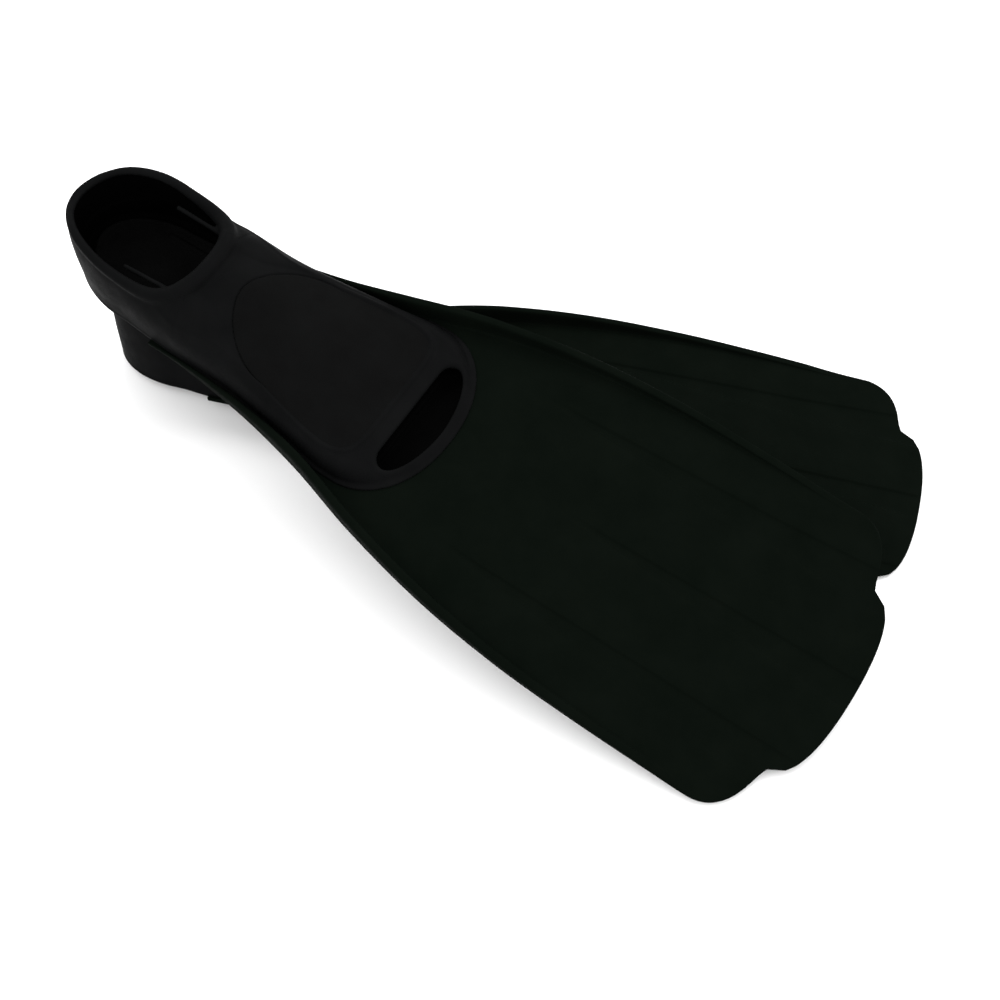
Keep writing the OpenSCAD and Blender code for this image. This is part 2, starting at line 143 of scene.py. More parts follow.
class Outline:
    """A closed outline, from its half widths y at stations x. distance() is negative inside."""

    def __init__(self, x, y):
        self.x, self.y = np.asarray(x, float), np.asarray(y, float)
        start = np.stack([self.x[:-1], self.y[:-1]], 1)
        run = np.stack([np.diff(self.x), np.diff(self.y)], 1)
        gx, ga = np.meshgrid(GRID_X, GRID_A, indexing="ij")
        best = np.full(gx.shape, 1e9)
        self.nearest = np.zeros(gx.shape)
        for k in range(len(run)):
            px, pa = gx - start[k, 0], np.abs(ga) - start[k, 1]
            size = max(run[k] @ run[k], 1e-9)
            t = np.clip((px * run[k, 0] + pa * run[k, 1]) / size, 0, 1)
            d = np.hypot(px - t * run[k, 0], pa - t * run[k, 1])
            closer = d < best
            best = np.where(closer, d, best)
            self.nearest = np.where(closer, k + t, self.nearest)
        half = np.interp(gx, self.x, self.y, left=-1, right=-1)
        self.table = np.where(np.abs(ga) < half, -best, best)

    def distance(self, x, a):
        return lookup(self.table, x, a)

    def along(self, values):
        """Table of a value given at each outline point, taken at the nearest one."""
        return np.interp(self.nearest, np.arange(len(self.x)), values)


# ---- blade rules ----
BEND_X = 242.0  # where the blade's underside is highest
BEND_R = 40.0  # how softly it bends there


def spine(x):
    """Height of the blade's underside: an inverted V with a soft bend under the toes."""

    def past(d):
        return np.sqrt(d * d + BEND_R**2) - BEND_R

    whole = np.where(x < BEND_X, past(BEND_X), past(END_X - BEND_X))
    return ARCH_H * (1 - past(x - BEND_X) / whole)


ARM_X = 84.0  # where the blade's side arms start, beside the heel
CORNER_X = END_X - 52
NOTCH_X = END_X - 19
NOTCH_Y = BLADE_W * 0.312
LOBE_X = END_X - 23
HALF_BLADE = BLADE_W / 2
# Rows of [x, value] for curve(): half width of the blade, then height and wall of its rails.
EDGE_ROWS = [
    [ARM_X, 43.2], [147, 49.2], [200, BALL_W / 2 + 4.8], [252, HALF_BLADE * 0.797],
    [305, HALF_BLADE * 0.916], [357, HALF_BLADE * 0.979], [404, HALF_BLADE * 0.998],
    [CORNER_X, HALF_BLADE],
]
RAIL_ROWS = [
    [ARM_X, 0.0], [100, 1.0], [150, RAIL_H * 0.55], [210, RAIL_H], [262, RAIL_H * 0.79],
    [FLEX_X, RAIL_H * 0.4], [430, RAIL_H * 0.14], [500, 0.0],
]
RAIL_WALL_ROWS = [[ARM_X, 1.0], [100, 1.6], [160, 3.6], [205, 5.0], [482, 4.4], [END_X, 4.0]]


def edge_y(x):
    return curve(x, EDGE_ROWS)


def bezier(p, t):
    a, b, c, d = np.array(p, float)
    t = t[:, None]
    return a * (1 - t) ** 3 + 3 * b * (1 - t) ** 2 * t + 3 * c * (1 - t) * t**2 + d * t**3


def tip_outline():
    """The tip's edge from the outer corner over the outer lobe and the notch to the middle."""
    t = np.linspace(0, 1, 60)
    outer = bezier([[CORNER_X, HALF_BLADE], [LOBE_X, HALF_BLADE + 2], [LOBE_X, NOTCH_Y + 8],
                    [NOTCH_X, NOTCH_Y]], t)
    centre = bezier([[NOTCH_X, NOTCH_Y], [NOTCH_X + 16, NOTCH_Y - 2], [END_X, 26], [END_X, 0]], t)
    both = np.vstack([outer, centre[1:]])
    falling = np.minimum.accumulate(np.minimum(both[:, 1], HALF_BLADE))
    return both[::-1, 0], falling[::-1]


TIP_X, TIP_Y = tip_outline()


def tip_x(y):
    return np.interp(np.abs(y), TIP_Y, TIP_X)


# ---- foot pocket rules ----
HEEL_ARC_X = 60.0  # the round end of the heel lies behind this
TOE_ARC_X = 226.0  # and that of the toes ahead of this
TOE_X = 266.0
OPEN_X = 105.0  # front of the foot opening
# Rows of [x, value] for curve(). Half widths of the pocket and of its top skin.
SIDE_ROWS = [
    [HEEL_ARC_X, 38], [80, 39.6], [98, 41], [126, 42], [146, 43.2], [160, 45.2], [188, 50],
    [214, 55], [TOE_ARC_X, BALL_W / 2],
]
SHOULDER_ROWS = [
    [40, 31.6], [52, 33.8], [64, 34.4], [76, 33.4], [86, 31], [94, 27.5], [100, 23], [OPEN_X, 17],
    [110, 17], [117, 18.5], [126, 21.5], [134, 27], [146, 33], [160, 38], [174, 41.8],
    [188, 44.8], [202, 46.8], [215, 47.6], [229, 46], [245, 43],
]
# How far the wall leans in above the widest line.
INSET_ROWS = [
    [HEEL_X, 1.2], [10, 1.7], [20, 2.6], [40, 3.5], [64, 3.9], [76, 6], [86, 9], [94, 13],
    [100, 18], [OPEN_X, 24.3], [110, 24.5], [117, 23.3], [126, 20.5], [134, 15.5], [146, 10.2],
    [160, 7.2], [174, 5.8], [188, 5.2], [202, 6], [215, 7.5], [229, 9], [268, 7],
]
# Height of the top skin, and how much lower its shoulders are.
TOP_ROWS = [
    [0, 43], [8, 45], [25, 51.6], [45, 52], [64, 48.2], [80, 45.2], [94, 46], [OPEN_X, 50.4],
    [110, 51], [117, 50.6], [126, 49], [134, 47], [146, 44.1], [160, 40], [174, 36.3],
    [188, 32.8], [202, 29.8], [215, 27.4], [229, 25.2], [248, 21.2], [262, 19], [274, 18],
]
BROW_ROWS = [
    [OPEN_X, 0.6], [117, 3], [134, 5.5], [160, 6], [188, 4.4], [212, 2.4], [232, 0],
]
# How far inside the pocket's outline the crease runs.
CREASE_ROWS = [[ARM_X, 6], [104, 4], [118, 6], [134, 8.5], [160, 8], [200, 7], [230, 8]]
BELLY = 0.42  # height of the widest line, as a share of the wall's height
SOLE_ROUND = 3.5


def plan_outline():
    heel = spaced(HEEL_ARC_X, HEEL_X, 48)[::-1]
    side = np.linspace(HEEL_ARC_X, TOE_ARC_X, 90)[1:-1]
    toe = spaced(TOE_ARC_X, TOE_X, 48)
    y = np.concatenate([
        SIDE_ROWS[0][1] * arc(heel, HEEL_ARC_X, HEEL_X, 2.0), curve(side, SIDE_ROWS),
        BALL_W / 2 * arc(toe, TOE_ARC_X, TOE_X, 2.15),
    ])
    return Outline(np.concatenate([heel, side, toe]), y)


RIM_HALF = 33.6
RIM_BACK, RIM_FRONT = 7.7, OPEN_X
RIM_HEEL_ARC, RIM_FRONT_ARC = 60.0, 64.0
# Height of the rolled rim's middle line, and its radius.
RIM_Z_ROWS = [
    [7, 45.5], [14, 48.9], [25, 52.4], [45, 52.8], [65, 49], [85, 46.4], [97, 48.8],
    [RIM_FRONT, 52],
]
RIM_R_ROWS = [[7, 1.7], [30, 1.9], [60, 2.5], [80, 3.6], [95, 4.7], [RIM_FRONT, 5.1]]


def rim_outline():
    """The egg-shaped edge of the foot opening, along the middle of its rolled rim."""
    heel = spaced(RIM_HEEL_ARC, RIM_BACK, 60)[::-1]
    side = np.linspace(RIM_HEEL_ARC, RIM_FRONT_ARC, 4)[1:-1]
    front = spaced(RIM_FRONT_ARC, RIM_FRONT, 70)
    y = RIM_HALF * np.concatenate([
        arc(heel, RIM_HEEL_ARC, RIM_BACK, 1.85), np.ones(len(side)),
        arc(front, RIM_FRONT_ARC, RIM_FRONT, 2.75),
    ])
    return Outline(np.concatenate([heel, side, front]), y)


PANEL_BACK, PANEL_FRONT = 126.0, 230.0
PANEL_HEEL_ARC, PANEL_TOE_ARC = 166.0, 190.0


def panel_outline():
    heel = spaced(PANEL_HEEL_ARC, PANEL_BACK, 40)[::-1]
    side = np.linspace(PANEL_HEEL_ARC, PANEL_TOE_ARC, 12)[1:-1]
    toe = spaced(PANEL_TOE_ARC, PANEL_FRONT, 60)
    x = np.concatenate([heel, side, toe])
    width = curve(np.maximum(x, PANEL_HEEL_ARC), SHOULDER_ROWS) - 2.4
    close = np.concatenate([
        arc(heel, PANEL_HEEL_ARC, PANEL_BACK, 1.8), np.ones(len(side)),
        arc(toe, PANEL_TOE_ARC, PANEL_FRONT, 7.0),
    ])
    return Outline(x, width * close)


def slot_outline():
    corner_l, corner_w = 7.0, 8.5
    turn = np.linspace(0, math.pi / 2, 12)
    back_x = SLOT_X + corner_l * (1 - np.cos(turn))
    back_y = SLOT_W / 2 - corner_w + corner_w * np.sin(turn)
    front = spaced(SLOT_X + corner_l, SLOT_X + SLOT_L, 40)
    y = SLOT_W / 2 * arc(front, SLOT_X + corner_l, SLOT_X + SLOT_L, 1.8)
    x = np.concatenate([[SLOT_X], back_x, front[1:]])
    return Outline(x, np.concatenate([[0], back_y, y[1:]]))


PLAN = plan_outline()
RIM = rim_outline()
PANEL = panel_outline()
SLOT = slot_outline()


def top_z(x):
    return curve(x, TOP_ROWS)


def shoulder_z(x):
    return np.where(x < OPEN_X, top_z(x), top_z(x) - curve(x, BROW_ROWS))


def top_at(x, a):
    """Height of the pocket's top skin, crowned across the foot."""
    u = np.clip(a / curve(x, SHOULDER_ROWS), 0, 1)
    return shoulder_z(x) + (top_z(x) - shoulder_z(x)) * (1 - u * u)


def above_top(x, a, z):
    """Distance above the pocket's top skin, square to its slope along the foot."""
    fall = (top_z(x + 1) - top_z(x - 1)) / 2
    return (z - top_at(x, a)) / np.sqrt(1 + fall * fall)


def sole_z(x):
    return 2.8 * np.clip(x / TOE_ARC_X, 0, 1)


def base_z(x):
    """The sole runs low past the ball of the foot, then climbs onto the top of the blade."""
    s = ramp(x, 240, 267)
    return (1 - s) * (sole_z(x) + PAD_T) + s * (spine(x) + BLADE_T) + 0.2


def waist_z(x):
    """Height of the pocket's widest line."""
    return base_z(x) + BELLY * (shoulder_z(x) - base_z(x))


def rim_tables():
    """Height, slope and radius of the rolled rim, at the rim point nearest to each grid point."""
    z, r = curve(RIM.x, RIM_Z_ROWS), curve(RIM.x, RIM_R_ROWS)
    run = np.hypot(np.gradient(RIM.x), np.gradient(RIM.y))
    flat = 1 / np.sqrt(1 + (np.gradient(z) / run) ** 2)
    return RIM.along(z), RIM.along(flat), RIM.along(r)


RIM_Z, RIM_FLAT, RIM_R = rim_tables()


# ---- solids: every formula takes x, a = |y| and z in mm, and is negative inside ----
def body(x, a, z):
    """The pocket before it is hollowed: walls that fall from the shoulder to the widest line."""
    u = -PLAN.distance(x, a)
    inset, waist = curve(x, INSET_ROWS), waist_z(x)
    rise = shoulder_z(x) - waist
    p, q = np.maximum(inset - u, 0) / inset, np.maximum(z - waist, 0) / rise
    reach = np.maximum(np.sqrt(p * p + q * q), 1e-6)
    slope = np.sqrt((p / inset) ** 2 + (q / rise) ** 2) / reach
    corner = (reach - 1) / np.maximum(slope, 1e-6)
    skin = np.where(z > waist, np.where(u < inset, corner, above_top(x, a, z)), -u)
    return smooth_max(skin, base_z(x) - z, SOLE_ROUND)


def lean(x, z):
    """How far in from its widest line the wall stands at height z."""
    waist = waist_z(x)
    q = np.clip((z - waist) / (shoulder_z(x) - waist), 0, 1)
    return curve(x, INSET_ROWS) * (1 - np.sqrt(1 - q * q))


CAVITY_FLOOR = 3.0  # rubber under the foot
OPENING_DEPTH = 14.0  # how far below the shoulder the opening's straight edge reaches
RIM_WALL = 2.6  # least wall under the rim
CREASE_H, CREASE_W = 0.45, 1.2
PANEL_SINK = 1.0  # depth of the seat under the instep panel
BEAD_H, BEAD_W, BEAD_OUT = 1.1, 1.4, 0.6  # the bead round the toe half of the panel
BEAD_COVER = 1.8  # how much of the panel's edge the bead covers
LIP_H, LIP_W, LIP_OUT = 0.55, 1.5, 2.4  # the lip round the toe slot
TONGUE_FROM, TONGUE_TO = (61.5, 24.0, 44.6), (100.0, 22.6, 46.4)
TONGUE_R = 1.3


def along_panel(x):
    """0 beside the heel half of the instep panel, 1 beside its toe half."""
    return ramp(x, 150, 190)


def pocket(x, a, z):
    """The shoe with its rolled rim, toe slot, bead, lip and the two tongues by the collar."""
    skin = body(x, a, z)
    plan, panel, slot = PLAN.distance(x, a), PANEL.distance(x, a), SLOT.distance(x, a)
    hollow = smooth_max(skin + WALL_T, base_z(x) + CAVITY_FLOOR - z, 5)
    upper = ramp(z, base_z(x) + 3, base_z(x) + 12)

    crease = ridge(plan + curve(x, CREASE_ROWS), CREASE_W)
    crease = crease * ramp(x, ARM_X, 100) * (1 - ramp(x, 205, 235))
    skin = skin - CREASE_H * crease * upper
    toe = along_panel(x)
    skin = skin + PANEL_SINK * ramp(-panel - BEAD_COVER * toe, -0.2, 0.8) * upper
    skin = skin - BEAD_H * ridge(panel - BEAD_OUT, BEAD_W) * toe * upper
    lip = ridge(slot - LIP_OUT, LIP_W) * ramp(x, SLOT_X - 3, SLOT_X + 4)
    skin = skin - LIP_H * lip * upper

    blade_top = spine(x) + BLADE_T
    flange = smooth_max(plan - 2.0 * ramp(x, 88, 130), np.abs(z - blade_top - 0.3) - 1.0, 0.8)
    skin = smooth_min(skin, flange, 1.2)

    opening = smooth_max(RIM.distance(x, a), shoulder_z(x) - OPENING_DEPTH - z, 3)
    hollow = smooth_max(smooth_min(hollow, opening, 3), plan + lean(x, z) + RIM_WALL, 1)
    shell = smooth_max(skin, -hollow, 1.0)
    toe_hole = smooth_max(slot, base_z(x) + 1.6 - z, 1)
    shell = smooth_max(shell, -toe_hole, 1.4)
    shell = smooth_min(shell, from_tongue(x, a, z) - TONGUE_R, 1.0)
    return smooth_min(shell, from_roll(x, a, z), 3.2)


def from_roll(x, a, z):
    """Distance to the surface of the rolled rim."""
    across = np.hypot(RIM.distance(x, a), (z - lookup(RIM_Z, x, a)) * lookup(RIM_FLAT, x, a))
    return across - lookup(RIM_R, x, a)


def from_tongue(x, a, z):
    """Distance to the straight middle line of a tongue."""
    run = np.subtract(TONGUE_TO, TONGUE_FROM)
    p = np.stack(np.broadcast_arrays(x, a, z), -1) - TONGUE_FROM
    t = np.clip((p @ run) / (run @ run), 0, 1)
    return np.linalg.norm(p - t[..., None] * run, axis=-1)


SHADE_DEPTH = 1.3  # how far inside the outer skin the painted shade starts


def in_painted_shade(p):
    """Which points of the pocket's mesh lie on the inside of the foot cavity and toe slot, where
    shade is painted dark.
    """
    x, a, z = p[:, 0], np.abs(p[:, 1]), p[:, 2]
    inside = body(x, a, z) < -SHADE_DEPTH
    on_tongue = from_tongue(x, a, z) < TONGUE_R + 0.7
    return inside & (from_roll(x, a, z) > 0.7) & ~on_tongue


PANEL_HALF = 1.35  # half the panel's thickness
PANEL_LOW = 1.2  # how far the panel's middle lies below the pocket's top skin


def instep_panel(x, a, z):
    """Shows a thin gap round its heel half, and runs under the bead round its toe half."""
    gap = 0.8 - 1.3 * along_panel(x)
    across = np.abs(above_top(x, a, z) + PANEL_LOW) - PANEL_HALF
    return smooth_max(PANEL.distance(x, a) + gap, across, 1.0)


BED_LIFT = 4.0  # underside of the bed above the pocket's base
BED_T = 2.6
BED_END = 222.0
BED_IN = 4.5  # air between the bed and the inside of the wall
CUP_H, CUP_W = 3.0, 2.4  # the raised edge round the heel of the bed
RIB_FROM, RIB_TO, RIB_Y = 50.0, 98.0, 21.0
RIB_H = 1.4


def foot_bed(x, a, z):
    edge = PLAN.distance(x, a) + WALL_T + BED_IN
    cup = CUP_H * ridge(edge + 2.6, CUP_W) * (1 - ramp(x, 70, 110))
    from_rib = np.hypot(x - np.clip(x, RIB_FROM, RIB_TO), a - RIB_Y)
    rib = RIB_H * (1 - ramp(from_rib, 1.0, 2.2))
    floor = base_z(x) + BED_LIFT
    slab = smooth_max(z - (floor + BED_T + cup + rib), floor - z, 0.8)
    return smooth_max(smooth_max(slab, edge, 1.5), x - BED_END, 1.5)


TREAD_IN = 5.0  # how far the treads stay in from the pocket's outline
GROOVE_PITCH, GROOVE_HALF, GROOVE_DEPTH = 12.0, 1.2, 1.2
WAVE, WAVE_HALF = 2.0, 14.0  # how far the grooves wave, and half the length of a wave


def tread(x_from, x_to, flat):
    """A grip pad with rounded ends and a row of wavy grooves across its underside."""

    def pad(x, a, z):
        low = 0 * x if flat else sole_z(x)
        middle, half = (x_from + x_to) / 2, (x_to - x_from) / 2
        sides = PLAN.distance(x, a) + TREAD_IN
        shape = smooth_max(sides, np.abs(x - middle) - half, 9)
        wave = x + WAVE * np.cos(a * math.pi / WAVE_HALF)
        groove = np.abs((wave - x_from) % GROOVE_PITCH - GROOVE_PITCH / 2) - GROOVE_HALF
        cut = smooth_max(groove, z - low - GROOVE_DEPTH, 0.5)
        slab = smooth_max(low - z, z - sole_z(x) - PAD_T, 0.4)
        return smooth_max(smooth_max(shape, slab, 1.2), -cut, 0.5)

    return pad


# ---- from formula to mesh ----
def at(rule, p):
    return rule(p[:, 0], np.abs(p[:, 1]), p[:, 2])


NUDGE = 0.2  # step used to feel the slope of a formula
LEAST_SLOPE = 0.05  # least squared slope to divide by
STRIDE = 0.6  # longest move, as a share of a grid cell


def pull_to_surface(rule, p, step):
    """Moves points onto the surface where rule is 0, along its slope."""
    value = at(rule, p)
    ways = np.eye(3) * NUDGE
    grad = np.stack([(at(rule, p + d) - at(rule, p - d)) / (2 * NUDGE) for d in ways], 1)
    size = np.maximum((grad**2).sum(1), LEAST_SLOPE)
    move = grad * (value / size)[:, None]
    length = np.linalg.norm(move, axis=1, keepdims=True)
    return p - move * np.minimum(1, STRIDE * step / np.maximum(length, 1e-9))


def solid(rule, low, high, step):
    """Points and quads of the surface where rule is 0, one point in each grid cell it crosses."""
    axes = [np.arange(low[k], high[k] + step, step) for k in range(3)]
    x, y, z = np.meshgrid(*axes, indexing="ij", sparse=True)
    value = rule(x, np.abs(y), z)
    value = np.broadcast_to(value, [len(a) for a in axes])
    cells = np.array(value.shape) - 1
    keys, places, turned = [], [], []
    for axis in range(3):
        b, c = (axis + 1) % 3, (axis + 2) % 3
        v = value.transpose(axis, b, c)
        edge = np.argwhere((v[:-1] < 0) != (v[1:] < 0))
        v0, v1 = v[tuple(edge.T)], v[edge[:, 0] + 1, edge[:, 1], edge[:, 2]]
        corner = np.empty_like(edge)
        corner[:, [axis, b, c]] = edge
        place = corner.astype(float)
        place[:, axis] += v0 / (v0 - v1)
        ring = []
        for db, dc in ((-1, -1), (0, -1), (0, 0), (-1, 0)):
            cell = corner.copy()
            cell[:, b] += db
            cell[:, c] += dc
            ring.append(np.ravel_multi_index(cell.T, cells))
        keys.append(np.stack(ring, 1))
        places.append(np.repeat(place[:, None], 4, axis=1))
        turned.append(v0 >= 0)
    keys, places, turned = np.vstack(keys), np.vstack(places), np.concatenate(turned)
    _, quads = np.unique(keys.ravel(), return_inverse=True)
    count = np.bincount(quads)
    points = np.stack([np.bincount(quads, places[..., k].ravel()) / count for k in range(3)], 1)
    quads = quads.reshape(-1, 4)
    quads[turned] = quads[turned][:, ::-1]
    points = points * step + low
    for _ in range(3):
        points = pull_to_surface(rule, points, step)
        points = pull_to_surface(rule, even_out(points, quads), step)
    return pull_to_surface(rule, points, step), quads


def even_out(points, quads):
    """Moves each point towards the middle of its neighbours, so that quads are of even size."""
    a, b = quads.ravel(), np.roll(quads, -1, axis=1).ravel()
    both, other = np.concatenate([a, b]), np.concatenate([b, a])
    count = np.bincount(both)
    mean = np.stack([np.bincount(both, points[other, k]) / count for k in range(3)], 1)
    return points * 0.5 + mean * 0.5


def to_mesh(name, points, quads):
    mesh = bpy.data.meshes.new(name)
    mesh.from_pydata((points * MM).tolist(), [], quads.tolist())
    mesh.polygons.foreach_set("use_smooth", [True] * len(mesh.polygons))
    mesh.update()
    return mesh


# ---- blade grid ----
EVEN_ROWS, TIP_ROWS = 170, 45
TIP_FROM = 440.0  # the rows ahead of this take on the shape of the tip
BAY_END = 262.0  # front end of the bay between the side arms
BAY_IN = 2.6  # how deep the side arms run into the rubber
FREE_X = 285.0  # the columns follow the flutes from here on
RAIL_FULL = 3.6  # a rail with a thinner wall has its columns squeezed together
# The sides of the flutes, from the point to the wide end, each end as (x, y).
CENTRE_FLUTE = ((335.0, 0.0), (530.0, 8.8))
OUTER_FLUTE_IN = ((287.0, 52.8), (514.0, 48.4))
OUTER_FLUTE_OUT = ((287.0, 52.8), (514.0, 69.5))
SOFT = 1.1  # half width of the slope at a flute's side
LEAST = 1.5  # half width of a flute's columns where it starts as a point
FLUTE_FADE = 45.0  # length over which a flute sinks to its depth
RAIL_FOOT = 1.4  # width of the hollow curve at the inner foot of a rail
RAIL_COLUMNS = (-RAIL_FOOT, -0.9, -0.45, -0.15, 0.0, 0.15, 0.6, 1.2)
EDGE_COLUMNS = (1.3, 0.7, 0.25, 0.0)
RAIL_PROFILE = (0, 0.02, 0.12, 0.4, 0.7, 0.88, 0.97, 1, 1.02, 1, 0.97, 0.88, 0.7)
LOW_EDGE = (0.0, 0.05, 0.35, 0.9)  # rounds the outer edge where there is no rail
UNDER_ROUND = 0.8  # rise of the underside at the outer edge
TIP_THIN = 0.45  # how far the top and the underside close in on each other at the tip


def line_at(x, line):
    (x0, y0), (x1, y1) = line
    return y0 + (y1 - y0) * (x - x0) / (x1 - x0)


def bay_y(x):
    """Inner edge of the side arms, buried in the rubber of the pocket."""
    half = np.interp(np.minimum(x, BAY_END), PLAN.x, PLAN.y)
    return half - BAY_IN


def spread(lo, hi, n):
    return [lo + (hi - lo) * k / n for k in range(1, n)]


def free_columns(x):
    """Half widths of the columns on the free blade, and where the sides of the flutes lie."""
    c = max(line_at(x, CENTRE_FLUTE), LEAST)
    middle = (line_at(x, OUTER_FLUTE_IN) + line_at(x, OUTER_FLUTE_OUT)) / 2
    half = (line_at(x, OUTER_FLUTE_OUT) - line_at(x, OUTER_FLUTE_IN)) / 2
    f = max(half, LEAST)
    rail = float(edge_y(x) - curve(x, RAIL_WALL_ROWS))
    soft = [-SOFT, -SOFT / 2, 0, SOFT / 2, SOFT]
    start = float(bay_y(BAY_END))
    y = [0.0] + spread(0, c - SOFT, 2) + [c + s for s in soft]
    y += spread(c + SOFT, start, 5) + [start] + spread(start, middle - f - SOFT, 6)
    y += [middle - f + s for s in soft] + spread(middle - f + SOFT, middle + f - SOFT, 4)
    y += [middle + f + s for s in soft] + spread(middle + f + SOFT, rail - RAIL_FOOT, 6)
    return np.array(y), c, (middle, f)


def blade_columns(x):
    """Half widths of all columns at x: the free ones, then the rail and the outer edge."""
    free, _, _ = free_columns(max(x, FREE_X))
    edge, wall = float(edge_y(x)), float(curve(x, RAIL_WALL_ROWS))
    rail = edge - wall
    bay = float(bay_y(BAY_END))
    if x < FREE_X:
        rail_then = float(edge_y(FREE_X) - curve(FREE_X, RAIL_WALL_ROWS)) - RAIL_FOOT
        share = (free - bay) / (rail_then - bay)
        here = float(bay_y(x))
        free = np.where(free > bay, here + share * (rail - RAIL_FOOT - here), free * here / bay)
    narrow = min(1.0, wall / RAIL_FULL)
    inner = rail + narrow * np.array(RAIL_COLUMNS)
    outer = edge - narrow * np.array(EDGE_COLUMNS)
    return np.concatenate([free, inner, [(inner[-1] + outer[0]) / 2], outer])


def blade_heights(x, y):
    """Height of the top surface above the spine, for the columns of blade_columns."""
    _, c, (middle, f) = free_columns(max(x, FREE_X))
    rail_h = float(curve(x, RAIL_ROWS))
    z = np.full(len(y), BLADE_T)
    start = CENTRE_FLUTE[0][0]
    if x > start:
        z -= FLUTE_D * ramp(x, start, start + FLUTE_FADE) * (1 - ramp(y, c - SOFT, c + SOFT))
    start = OUTER_FLUTE_IN[0][0]
    if x > start:
        inside = 1 - ramp(np.abs(y - middle), f - SOFT, f + SOFT)
        z -= FLUTE_D * ramp(x, start, start + FLUTE_FADE) * inside
    z[-len(RAIL_PROFILE):] = BLADE_T + rail_h * np.array(RAIL_PROFILE)
    flat = 1 - min(1.0, rail_h / 2)
    z[-len(LOW_EDGE):] -= np.array(LOW_EDGE) * flat
    return z


def blade_rows():
    """Stations along the blade: even ones, then ones squeezed into the lobes of the tip."""
    even = np.linspace(ARM_X, TIP_FROM, EVEN_ROWS)
    even = np.sort(np.append(even, BAY_END))
    tip = TIP_FROM + (END_X - TIP_FROM) * np.linspace(0, 1, TIP_ROWS + 1)[1:] ** 0.85
    return np.concatenate([even, tip])


def blade_grid():
    """One closed grid: top and underside joined along the outer edge, the bay and the tip."""
    rows = blade_rows()
    top, under = [], []
    for x in rows:
        half = blade_columns(x)
        z = blade_heights(x, half)
        y = np.concatenate([-half[:0:-1], half])
        z = np.concatenate([z[:0:-1], z])
        share = np.clip((x - TIP_FROM) / (END_X - TIP_FROM), 0, 1)
        x_here = np.where(x > TIP_FROM, TIP_FROM + (tip_x(y) - TIP_FROM) * share, x)
        near_tip = ramp(share, 0.97, 1.0)
        height = spine(x_here)
        from_edge = np.abs(half[-1] - np.abs(y))
        round_under = UNDER_ROUND * (1 - ramp(from_edge, 0, 1.0))
        middle = BLADE_T / 2
        high = height + z - near_tip * (z - middle) * TIP_THIN
        low = height + round_under + near_tip * middle * TIP_THIN
        top.append(np.stack([x_here, y, high], 1))
        under.append(np.stack([x_here, y, low], 1))
    top, under = np.array(top), np.array(under)
    n, m, _ = top.shape
    points = np.vstack([top.reshape(-1, 3), under.reshape(-1, 3)])
    mid = m // 2
    bay_column = int(np.argmin(np.abs(blade_columns(BAY_END) - bay_y(BAY_END))))
    bay_row = int(np.argmin(np.abs(rows - BAY_END)))
    kept = np.ones((n - 1, m - 1), bool)
    kept[:bay_row, mid - bay_column:mid + bay_column] = False

    def number(i, j, side):
        return side * n * m + i * m + j

    i, j = np.nonzero(kept)
    upper = np.stack([number(i, j, 0), number(i + 1, j, 0), number(i + 1, j + 1, 0),
                      number(i, j + 1, 0)], 1)
    lower = upper[:, ::-1] + n * m
    walls = []
    padded = np.pad(kept, 1)
    for i, j in zip(*np.nonzero(kept)):
        around = (
            (padded[i, j + 1], (i, j + 1), (i, j)),
            (padded[i + 2, j + 1], (i + 1, j), (i + 1, j + 1)),
            (padded[i + 1, j], (i, j), (i + 1, j)),
            (padded[i + 1, j + 2], (i + 1, j + 1), (i, j + 1)),
        )
        for filled, p, q in around:
            if not filled:
                walls.append([number(*q, 0), number(*p, 0), number(*p, 1), number(*q, 1)])
    quads = np.vstack([upper, lower, np.array(walls)])
    used, quads = np.unique(quads.ravel(), return_inverse=True)
    return points[used], quads.reshape(-1, 4)


# ---- materials ----
def node_of(tree, kind, **settings):
    """A new shader node; each setting is a property of the node or one of its inputs."""
    made = tree.nodes.new(kind)
    for name, value in settings.items():
        if hasattr(made, name):
            setattr(made, name, value)
        else:
            made.inputs[name].default_value = value
    return made


def noise(tree, scale, detail=3.0, rough=0.55):
    where = node_of(tree, "ShaderNodeTexCoord")
    made = node_of(tree, "ShaderNodeTexNoise", Scale=scale, Detail=detail, Roughness=rough)
    tree.links.new(where.outputs["Object"], made.inputs["Vector"])
    return made.outputs["Fac"]


NOISE_LOW, NOISE_HIGH = 0.3, 0.7  # nearly all of a noise texture lies between these
MOTTLE_SCALE, SHEEN_SCALE, BROAD_SCALE = 38.0, 120.0, 60.0


def spread_to(tree, value, low, high):
    """The noise value, stretched to run from low to high."""
    made = node_of(tree, "ShaderNodeMapRange")
    limits = {"From Min": NOISE_LOW, "From Max": NOISE_HIGH, "To Min": low, "To Max": high}
    for name, number in limits.items():
        made.inputs[name].default_value = number
    tree.links.new(value, made.inputs["Value"])
    return made.outputs["Result"]


